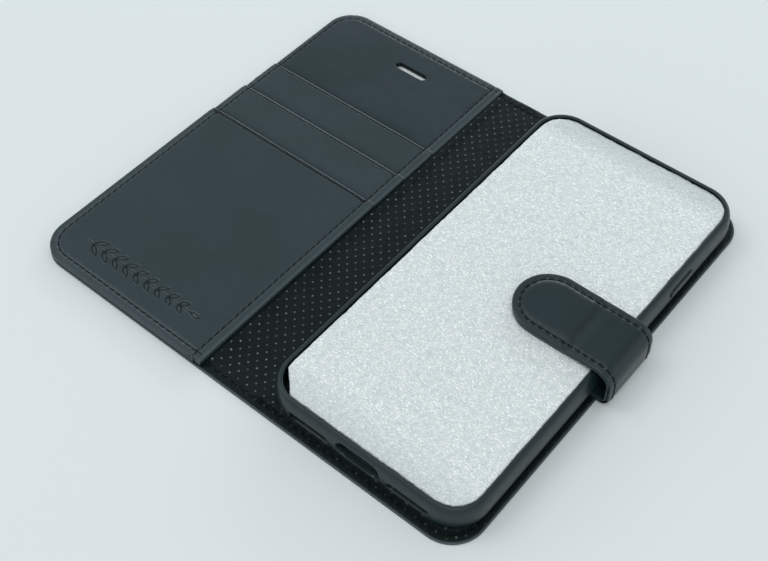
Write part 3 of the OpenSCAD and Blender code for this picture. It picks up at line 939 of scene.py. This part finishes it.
def hem_top(x, y, d):
    z = wallet_level(y) + 0.2 - 0.12 * smooth(SEAM_HEM + 1.2, HEM, x) + 0.03 * wave(x, y, 30, 5)
    for m in MOUTHS:
        z = z + 0.12 * ridge(m - 0.2 - y, 0.35) - 0.16 * ridge(m - 1.0 - y, 0.3)
    return z - 0.2 * ridge(x - SEAM_HEM, 0.5) - FRONT_DIPS(x, y) - HEM_DIPS(x, y) * 0.6


# Painted light on the hem: paler overall, a painted highlight along its outer fold edge, a painted highlight
# and a painted shade at each mouth's step, painted shade in the seam channel, and paler at the needle holes
# between the stitches.
def hem_painted_light(x, y, d):
    out = 0.26 + 0.6 * smooth(HEM - 1.1, HEM - 0.5, x) - 0.2 * ridge(x - SEAM_HEM, 0.45)
    for m in MOUTHS:
        out = out + 0.3 * ridge(m - 0.2 - y, 0.35) - 0.9 * ridge(m - 1.0 - y, 0.32)
    return np.clip(out + 0.8 * FRONT_DIPS(x, y) + 1.3 * HEM_DIPS(x, y), -1, 1)


hem_y = HALF - 0.6
hem_steps = [(SEAM_HEM + k, m + j) for m in MOUTHS for k in np.arange(0.3, 3.8, 0.5)
             for j in np.arange(-1.6, 0.61, 0.13)]
hem_rows = rows_along(HEM, (-0.06, -0.15, -0.3, -0.5, -0.75, -1.0))
hem = plate("spine_side_hem_leather", rounded(SEAM_HEM - 0.05, HEM, -hem_y, hem_y, 0, 0), hem_top,
            lambda x, y, d: PANEL_UNDER, LEATHER, 0.75, 0.35, step=1.6,
            extra=[ring_points(HEM_HOLES), hem_steps, hem_rows], painted_light=hem_painted_light)
hand_over(hem, ["spine_side_hem"], "front_cover")


def front_seam_height(x, y):
    return wallet_level(y) - 0.26 + 0.21 * smooth(SEAM_HEM, SEAM_HEM + 0.6, x)


piece = thread("front_seam_thread", FRONT_SEAM, front_seam_height)
hand_over(piece, ["front_stitches"], "front_cover")
piece = thread("hem_seam_thread", HEM_SEAM, lambda x, y: wallet_level(y) - 0.18)
hand_over(piece, ["hem_stitches"], "front_cover")
piece = thread("spine_seam_thread_front", FRONT_LINING_SEAM, lambda x, y: LINING_THREAD + 0 * x)
hand_over(piece, ["spine_stitches"])
bend(piece)
piece = thread("back_seam_thread", BACK_LINING_SEAM, lambda x, y: LINING_THREAD + 0 * x)
hand_over(piece, ["back_stitches"])
bend(piece)
piece = thread("outer_seam_thread_front", OUT_FRONT, lambda x, y: OUTER_THREAD + 0 * x, OUTER_THREAD, flip=-1)
hand_over(piece)
bend(piece)
piece = thread("outer_seam_thread_back", OUT_BACK, lambda x, y: OUTER_THREAD + 0 * x, OUTER_THREAD, flip=-1)
hand_over(piece)
bend(piece)

# ---------------- phone tray

# the wall's section, from the floor's underside over the lip to the floor: distance out, height
SECTION = np.array([
    (-6, 0), (-2.4, 0), (-1.7, 0.06), (-1.15, 0.24), (-0.7, 0.55), (-0.38, 1), (-0.17, 1.6),
    (-0.05, 2.4), (0, 3.4), (0, 4.6), (-0.03, 5.6), (-0.1, 6.6), (-0.2, 7.5), (-0.35, 8.3),
    (-0.52, 9), (-0.72, 9.55), (-0.95, 9.95), (-1.2, 10.2), (-1.45, 10.34), (-1.7, 10.4),
    (-1.95, 10.4), (-2.2, 10.36), (-2.4, 10.26), (-2.5, 10.1), (-2.5, 9.8), (-2.38, 9.55),
    (-2, 9.25), (-2, 8.4), (-2, 1.5), (-2.15, 1.15), (-2.5, 1), (-6, 1)])
KNOTS = np.concatenate([[0], np.cumsum(np.hypot(*np.diff(SECTION, axis=0).T))])
OUT_FROM, OUT_TO, IN_FROM, IN_TO = 5, 19, 27, 28


def out_t(z):
    """Place along the section of a height on the outer face."""
    return np.interp(z, SECTION[OUT_FROM:OUT_TO + 1, 1], KNOTS[OUT_FROM:OUT_TO + 1])


def in_t(z):
    """Place along the section of a height on the inner face, which is upright."""
    top, low = SECTION[IN_FROM, 1], SECTION[IN_TO, 1]
    return np.interp(top - z, [0, top - low], [KNOTS[IN_FROM], KNOTS[IN_TO]])


def wall_strip(length, openings, place):
    """A straight run of wall with obround openings, given as (along, height, width, tall)."""
    outlines = [dense(obround(*opening, 14), 0.8) for opening in openings]

    def faces_at(t):
        return (t > KNOTS[OUT_FROM]) & (t < KNOTS[OUT_TO]), t > KNOTS[IN_FROM - 1]

    def clear(s, t):
        p = np.column_stack([s, np.interp(t, KNOTS, SECTION[:, 1])])
        outer, inner = faces_at(t)
        ok = np.ones(len(s), bool)
        for loop in outlines:
            ok &= ~((outer | inner) & (inside(p, loop) | (distance(p, loop) < 0.12)))
        return ok

    s_edge = np.linspace(-length / 2, length / 2, max(2, int(length / 3)) + 1)
    loose = np.array([(s, t) for s in s_edge for t in KNOTS])
    loose = loose[(abs(abs(loose[:, 0]) - length / 2) < 1e-6) | clear(*loose.T)]
    rows = np.concatenate([np.linspace(a, b, 3)[:-1] for a, b in zip(KNOTS, KNOTS[1:])])
    more = []
    for loop in outlines:
        for d in (0.1, 0.22, 0.38, 0.6, 1.1):
            s, z = offset(loop, -d).T
            more += [np.column_stack([s, t]) for t in (out_t(z), in_t(z))]
        s = np.arange(loop[:, 0].min() - 2, loop[:, 0].max() + 2, 0.8)
        more += [np.column_stack([s, row + 0 * s]) for row in rows]
    if more:
        more = np.vstack(more)
        more = more[clear(*more.T) & (abs(more[:, 0]) < length / 2 - 0.3)]
        loose = np.vstack([loose, more])
    loops = [np.column_stack([loop[:, 0], t(loop[:, 1])]) for loop in outlines for t in (out_t, in_t)]
    flat, tris, merged = triangulate(loops, loose, 0.06)
    where = {given: i for i, group in enumerate(merged) for given in group}
    centre = flat[tris].mean(1)
    for loop in loops:
        keep = ~inside(centre, loop)
        tris, centre = tris[keep], centre[keep]
    s, t = flat.T
    n, z = np.interp(t, KNOTS, SECTION[:, 0]), np.interp(t, KNOTS, SECTION[:, 1])
    outer, inner = faces_at(t)
    for loop in outlines:
        d = distance(np.column_stack([s, z]), loop)
        n = np.where(outer, n - fillet(d, 0.45), n)
        n = np.where(inner, n + fillet(d, 0.2), n)
    faces = tris.tolist()
    start = 0
    for loop in outlines:
        count = len(loop)
        for i in range(count):
            k = (i + 1) % count
            corners = (start + i, start + k, start + count + k, start + count + i)
            faces.append([where[c] for c in corners])
        start += 2 * count
    return place(n, s, z + TRAY_Z), faces


def swept_corner(cx, cy, a0):
    verts, faces = [], []
    steps, m = 16, len(SECTION)
    for i in range(steps + 1):
        a = math.radians(a0 + 90 * i / steps)
        for s, z in SECTION:
            verts.append((cx + (TRAY_R + s) * math.cos(a), cy + (TRAY_R + s) * math.sin(a), TRAY_Z + z))
    for a in range(steps * m):
        if a % m < m - 1:
            faces.append((a, a + m, a + m + 1, a + 1))
    return verts, faces


CX, CY = TRAY_W - TRAY_R, TRAY_L - TRAY_R
BUTTON_Z, BUTTON_TALL, BUTTON_GAP = 5.5, 3.0, 0.3
# each button's middle along the tray, its length and its side of the tray come last
BUTTONS = (("power_button_cover", "power_button", "power_key", 40.5, 14, 1),
           ("volume_up_cover", "volume_up_button", "volume_up_key", 50, 11, -1),
           ("volume_down_cover", "volume_down_button", "volume_down_key", 36, 11, -1))
# the openings in the bottom wall: middle along it, middle's height, width and height
SPEAKERS = [(way * 20.6, 3.1, 17.8, 4.0) for way in (-1, 1)]
CHARGING = (0, 4.9, 17.4, 6.4)


def button_slots(side_sign):
    return [(y * sign, BUTTON_Z, length + BUTTON_GAP, BUTTON_TALL + BUTTON_GAP)
            for *_, y, length, sign in BUTTONS if sign == side_sign]


parts = [
    wall_strip(2 * CY, button_slots(1), lambda n, s, z: np.column_stack([TRAY_W + n, s, z])),
    wall_strip(2 * CY, button_slots(-1), lambda n, s, z: np.column_stack([-TRAY_W - n, -s, z])),
    wall_strip(2 * CX, [], lambda n, s, z: np.column_stack([-s, TRAY_L + n, z])),
    wall_strip(2 * CX, [SPEAKERS[0], CHARGING, SPEAKERS[1]],
               lambda n, s, z: np.column_stack([s, -TRAY_L - n, z]))]
for x, y, turn in ((1, 1, 0), (-1, 1, 90), (-1, -1, 180), (1, -1, 270)):
    parts.append(swept_corner(x * CX, y * CY, turn))
verts, faces = [], []
for part_verts, part_faces in parts:
    faces += [[i + len(verts) for i in face] for face in part_faces]
    verts += list(part_verts)
tray = build("phone_tray_moulding", verts, faces, PLASTIC)
face_outward(tray, 2e-6)
tray.data.set_sharp_from_angle(angle=math.radians(50))
hand_over(tray, ["phone_tray"], "back_cover")

FLOOR_R = TRAY_R - 5.5
floor_x, floor_y = CX + FLOOR_R, CY + FLOOR_R
floor = plate("phone_tray_floor", rounded(-floor_x, floor_x, -floor_y, floor_y, FLOOR_R, FLOOR_R, 8),
              lambda x, y, d: TRAY_Z + 0.99, lambda x, y, d: TRAY_Z + 0.01, PLASTIC, 0.01, 0.01,
              [camera_hole(-0.1)], 0.3, 8.0)
hand_over(floor, body="back_cover")


def side_button(name, node, body, y, length, sign):
    def place(v):
        return np.column_stack([sign * (TRAY_W + v[:, 2]), y + sign * v[:, 0], TRAY_Z + BUTTON_Z + v[:, 1]])

    obj = plate(name, obround(0, 0, length, BUTTON_TALL),
                lambda x, y, d: 0.5 + 0.12 * smooth(0.3, 1.4, d) - 0.05 * abs(y),
                lambda x, y, d: -1.7, PLASTIC, 0.4, 0.2, step=0.8, place=place)
    hand_over(obj, [node], body)


for button in BUTTONS:
    side_button(*button)

# ---------------- foam insert


FOAM_R = 10.4
FOAM_CUT = 1.4


def foam_outline():
    """Hand-cut edge, a little short of the left wall, with the bottom left corner cut straight across."""
    x0, x1, y, r = -TRAY_W + 3.1, TRAY_W - 2.6, TRAY_L - 2.65, FOAM_R
    chord = math.degrees(math.acos((r - FOAM_CUT) / r))
    pts = arc(x1 - r, y - r, r, 0, 90) + arc(x0 + r, y - r, r, 90, 180)
    pts += arc(x0 + r, -y + r, r, 180, 225 - chord, 4) + arc(x0 + r, -y + r, r, 225 + chord, 270, 4)
    pts += arc(x1 - r, -y + r, r, 270, 360)
    edge = dense(np.array(pts), 1.0)
    ragged = 0.2 * wave(edge[:, 0], edge[:, 1], 11, 31) + 0.14 * wave(edge[:, 0], edge[:, 1], 3.0, 32)
    return offset(edge, ragged + 0.1)


def pillows(x, y, size, seed):
    """0 to 1: rounded cells about size mm across, from the distance to jittered lattice points."""
    rng = np.random.default_rng(seed)
    table = rng.uniform(0.1, 0.9, (64, 64, 2))
    i, j = np.floor(x / size).astype(int), np.floor(y / size).astype(int)
    best = np.full(len(x), 9.0)
    for di in (-1, 0, 1):
        for dj in (-1, 0, 1):
            jitter = table[(i + di) % 64, (j + dj) % 64]
            u, w = x / size - i - di - jitter[:, 0], y / size - j - dj - jitter[:, 1]
            best = np.minimum(best, np.hypot(u, w))
    return np.clip(1 - best * best, 0, 1)


def foam_top(x, y, d):
    z = LIP - 0.12 + 0.1 * wave(x, y, 22, 41) + 0.05 * wave(x, y, 7, 42)
    z = z + 0.2 * pillows(x, y, 2.1, 43) + 0.09 * pillows(x, y, 1.2, 44)
    return z - 0.3 * (1 - smooth(0, 2.2, d)) - 0.5 * smooth(TRAY_L - 9, TRAY_L - 2.8, y)


def undercut(v):
    """The end behind the charging opening slopes back towards the tray floor."""
    out = v.copy()
    out[:, 1] += 3.6 * smooth(LIP - 1.6, TRAY_Z + 1.5, v[:, 2]) * smooth(-TRAY_L + 9, -TRAY_L + 4, v[:, 1])
    return out


foam = plate("foam_insert_sheet", foam_outline(), foam_top, lambda x, y, d: TRAY_Z + 1.0, FOAM, 0.5, 0.3,
             step=0.62, sharp=80, place=undercut)
hand_over(foam, ["foam_insert"], "back_cover")

# ---------------- strap

ROOT_X, WEB_LOW, ROOT_R = BACK + 1.1, 3.6, 2.3
WEB_X, WEB_HIGH, TOP_R = ROOT_X + ROOT_R, 9.2, 5.9
TOP_X, TONGUE_Z = WEB_X - TOP_R, WEB_HIGH + TOP_R
# distances along the strap: its hidden end, both ends of each bend, the tip, and where its stiffener starts
S_START = 0.6
S_ROOT = 5.0
S_WEB = S_ROOT + ROOT_R * math.pi / 2
S_TOP = S_WEB + WEB_HIGH - WEB_LOW
S_TONGUE = S_TOP + TOP_R * math.pi / 2
S_END = S_TONGUE + TOP_X - TIP
S_STIFF = S_END - 24.6
S_SPLIT = (S_WEB + S_TOP) / 2


def strap_place(v):
    """From (distance along the strap, across it, height over its middle) to the row frame."""
    s, y, h = v.T
    root = np.clip((s - S_ROOT) / ROOT_R, 0, math.pi / 2)
    top = np.clip((s - S_TOP) / TOP_R, 0, math.pi / 2)
    x = ROOT_X + np.minimum(s - S_ROOT, 0) + ROOT_R * np.sin(root)
    x = x - TOP_R * (1 - np.cos(top)) - np.maximum(s - S_TONGUE, 0)
    z = WEB_LOW - ROOT_R * np.cos(root) + np.clip(s - S_WEB, 0, WEB_HIGH - WEB_LOW) + TOP_R * np.sin(top)
    return np.column_stack([x + np.sin(root + top) * h, y, z - np.cos(root + top) * h])


STRAP_SEAM = 2.5
TIP_S = S_END - STRAP_HALF
seam_y = STRAP_HALF - STRAP_SEAM
strap_path = [(S_ROOT - 1, -seam_y)] + arc(TIP_S, 0, seam_y, -90, 90, 16) + [(S_ROOT - 1, seam_y)]
STRAP_STITCHES = stitches_on(dense_line(strap_path, 1.0), 2.9)
STRAP_HOLES = needle_holes(STRAP_STITCHES)
STRAP_DIPS = dips(STRAP_HOLES, 0.34, 0.4)


def padding(x):
    return smooth(S_STIFF - 3.5, S_STIFF + 1.0, x)


def strap_over(x, y, d):
    pad = padding(x)
    z = 1.05 + 0.38 * pad * smooth(STRAP_SEAM - 0.2, STRAP_SEAM + 2.4, d) + 0.1 * pad
    z = z - 0.2 * (1 - smooth(0.2, STRAP_SEAM - 0.4, d)) - 0.14 * ridge(d - STRAP_SEAM, 0.6)
    z = z + 0.05 * wave(x, y, 13, 61) - 0.2 * ridge(x - S_STIFF + 1.4, 1.0)
    z = z + 0.14 * ridge(x - S_STIFF + 4.6, 1.7) * smooth(1.5, 4, d)
    return z - STRAP_DIPS(x, y)


# Painted light on the strap's outer ply: painted highlights along the rounded edge, on the padded bump and
# between the stitches; painted shade in the seam channel and in the crease where the stiffener ends.
def strap_painted_light(x, y, d):
    out = 0.1 * (1 - smooth(1.0, STRAP_SEAM - 0.6, d)) - 0.1 * ridge(d - STRAP_SEAM, 0.45)
    out = out - 0.2 * ridge(x - S_STIFF + 1.4, 0.9) + 0.06 * ridge(x - S_STIFF + 4.6, 1.7)
    return np.clip(out + 1.1 * STRAP_DIPS(x, y), -1, 1)


# A painted highlight along the inner ply's edge.
def inner_rim_highlight(x, y, d):
    return 0.5 * (1 - smooth(0.2, 0.8, d))


def strap_between(x, y, d):
    return -0.45 * padding(x)


def strap_under(x, y, d):
    return -1.08 - 0.86 * smooth(S_STIFF - 8.5, S_STIFF + 0.5, x)


def strap_outline(s0, s1, shrink):
    h = STRAP_HALF - shrink
    far = arc(TIP_S, 0, h, -90, 90, 24) if s1 >= S_END else [(s1, -h), (s1, h)]
    edge = dense(np.array([(s0, -h)] + far + [(s0, h)]), 1.0)
    ragged = 0.1 * wave(edge[:, 0], edge[:, 1], 7, 66) * (abs(edge[:, 1]) > h - 6)
    moved = offset(edge, ragged)
    cut = (abs(edge[:, 0] - s0) < 1e-6) | (abs(edge[:, 0] - s1) < 1e-6) & (s1 < S_END)
    moved[cut] = edge[cut]
    return moved


def strap_rows(s0, s1):
    ys = np.arange(-STRAP_HALF + 0.5, STRAP_HALF - 0.4, 1.0)
    return np.array([(s, y) for s in np.arange(s0 + 0.25, s1, 0.5) for y in ys])


def strap_piece(name, s0, s1, outer, nodes):
    """One ply, from s0 to s1. The inner ply is a little narrower; its lower face gets no painted shade, while
    the outer ply's lower face, in the gap between the plies, does.
    """
    top = strap_over if outer else lambda x, y, d: strap_between(x, y, d) - 0.04
    cut = [s0, s1] if s1 < S_END else [s0]
    bottom = strap_between if outer else strap_under
    obj = plate(name, strap_outline(s0, s1, 0 if outer else 0.12), top, bottom, STRAP, 0.3, 0.3, step=1.2,
                extra=[strap_rows(s0, min(s1, S_TONGUE + 2)), ring_points(STRAP_HOLES)],
                open_edge=lambda x, y: any(abs(x - c) < 1e-3 for c in cut), place=strap_place,
                painted_light=strap_painted_light if outer else inner_rim_highlight, under=-0.8 if outer else 0)
    hand_over(obj, nodes)
    return obj


def lower_blend(obj):
    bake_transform(obj)


def upper_blend(obj):
    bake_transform(obj)


lower_blend(strap_piece("strap_outer_ply_low", S_START, S_SPLIT, True,
                        ["strap_root_fold", "strap_web_outer"]))
lower_blend(strap_piece("strap_inner_ply_low", S_START, S_SPLIT, False, ["strap_web_inner"]))
upper_blend(strap_piece("strap_outer_ply_high", S_SPLIT, S_END, True, ["strap_top_fold", "tongue_outer"]))
upper_blend(strap_piece("strap_inner_ply_high", S_SPLIT, S_END, False, ["tongue_inner"]))


def strap_seam_height(x, y):
    return 1.05 + 0.1 * padding(x) - 0.14


low = [s for s in STRAP_STITCHES if s[0][0] < S_SPLIT]
high = [s for s in STRAP_STITCHES if s[0][0] >= S_SPLIT]
piece = thread("strap_thread_low", low, strap_seam_height, 0.26, strap_place)
hand_over(piece)
lower_blend(piece)
piece = thread("strap_thread_high", high, strap_seam_height, 0.26, strap_place)
hand_over(piece, ["tongue_stitches"])
upper_blend(piece)
piece = thread("strap_thread_under", high, lambda x, y: strap_under(x, y, x) + 0.1, 0.18, strap_place, -1)
hand_over(piece)
upper_blend(piece)

# ---------------- hidden inner pieces keep their CAD shape

ANCHOR = plain("anchor_leather", (0.02, 0.026, 0.03), (0.03, 0.037, 0.042), 0.5)
for node, material, slot in (("back_board", BOARD, "stiffener_board"),
                             ("front_board", BOARD, "stiffener_board"),
                             ("tongue_stiffener", BOARD, "stiffener_board"),
                             ("tray_adhesive_pad", GLUE, "adhesive"), ("closing_plate", STEEL, "steel"),
                             ("strap_magnet", STEEL, "steel"), ("strap_anchor_tab", ANCHOR, "cover_leather")):
    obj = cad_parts[node]
    obj.data.materials.clear()
    obj.data.materials.append(material)

# ---------------- floor, light and camera

ground = bpy.data.meshes.new("ground")
ground.from_pydata([(-3, -3, 0), (3, -3, 0), (3, 3, 0), (-3, 3, 0)], [], [(0, 1, 2, 3)])
ground_obj = bpy.data.objects.new("ground", ground)
bpy.context.scene.collection.objects.link(ground_obj)
ground_obj.location.z = -0.00005
n = Nodes("ground_paper")
v = n.add("ShaderNodeTexCoord").outputs["Object"]
paper = n.mix(n.noise(v, 3.0), (0.715, 0.742, 0.748), (0.745, 0.772, 0.778))
ground.materials.append(n.set(Base_Color=paper, Roughness=0.75, Specular_IOR_Level=0.2))

world = bpy.data.worlds.new("studio")
bpy.context.scene.world = world
world.use_nodes = True
sky = world.node_tree
up = sky.nodes.new("ShaderNodeSeparateXYZ")
sky.links.new(sky.nodes.new("ShaderNodeTexCoord").outputs["Generated"], up.inputs[0])
level = sky.nodes.new("ShaderNodeValToRGB")
ramp = level.color_ramp
for place, glow in ((0.0, 1.0), (0.35, 0.93), (0.60, 0.50), (0.86, 0.46), (1.0, 1.6)):
    stop = ramp.elements[0] if place == 0 else ramp.elements[-1] if place == 1 else ramp.elements.new(place)
    stop.color = (0.92 * glow, 0.985 * glow, glow, 1)
sky.links.new(up.outputs[2], level.inputs["Fac"])
sky.links.new(level.outputs["Color"], sky.nodes["Background"].inputs["Color"])


def softbox(name, at, aim, size, watts, tint=(1, 1, 1)):
    data = bpy.data.lights.new(name, "AREA")
    data.shape = "RECTANGLE"
    data.size, data.size_y = size
    data.energy = watts
    data.color = tint
    obj = bpy.data.objects.new(name, data)
    bpy.context.scene.collection.objects.link(obj)
    obj.location = at
    obj.rotation_euler = (Vector(aim) - Vector(at)).to_track_quat("-Z", "Y").to_euler()
    return obj


softbox("key", (-1.3, -0.45, 1.9), (-0.03, 0, 0), (1.0, 1.0), 9.5, (0.94, 0.985, 1.0))
softbox("back", (-0.35, 1.25, 0.36), (-0.03, 0, 0), (1.5, 0.2), 4.5, (0.86, 0.96, 1.0))
softbox("fill", (0.75, -0.8, 1.9), (0, -0.05, 0), (1.2, 1.2), 6.5, (0.95, 0.99, 1.0))

camera = bpy.data.objects.new("camera", bpy.data.cameras.new("camera"))
bpy.context.scene.collection.objects.link(camera)
camera.location = (0.13385, -0.2235, 0.34134)
camera.rotation_euler = tuple(math.radians(a) for a in (38.479, 0.764, 39.683))
camera.data.lens = 58.09
camera.data.sensor_width = 36.0
camera.data.clip_start = 0.01
bpy.context.scene.camera = camera
bpy.context.scene.view_settings.view_transform = "Standard"
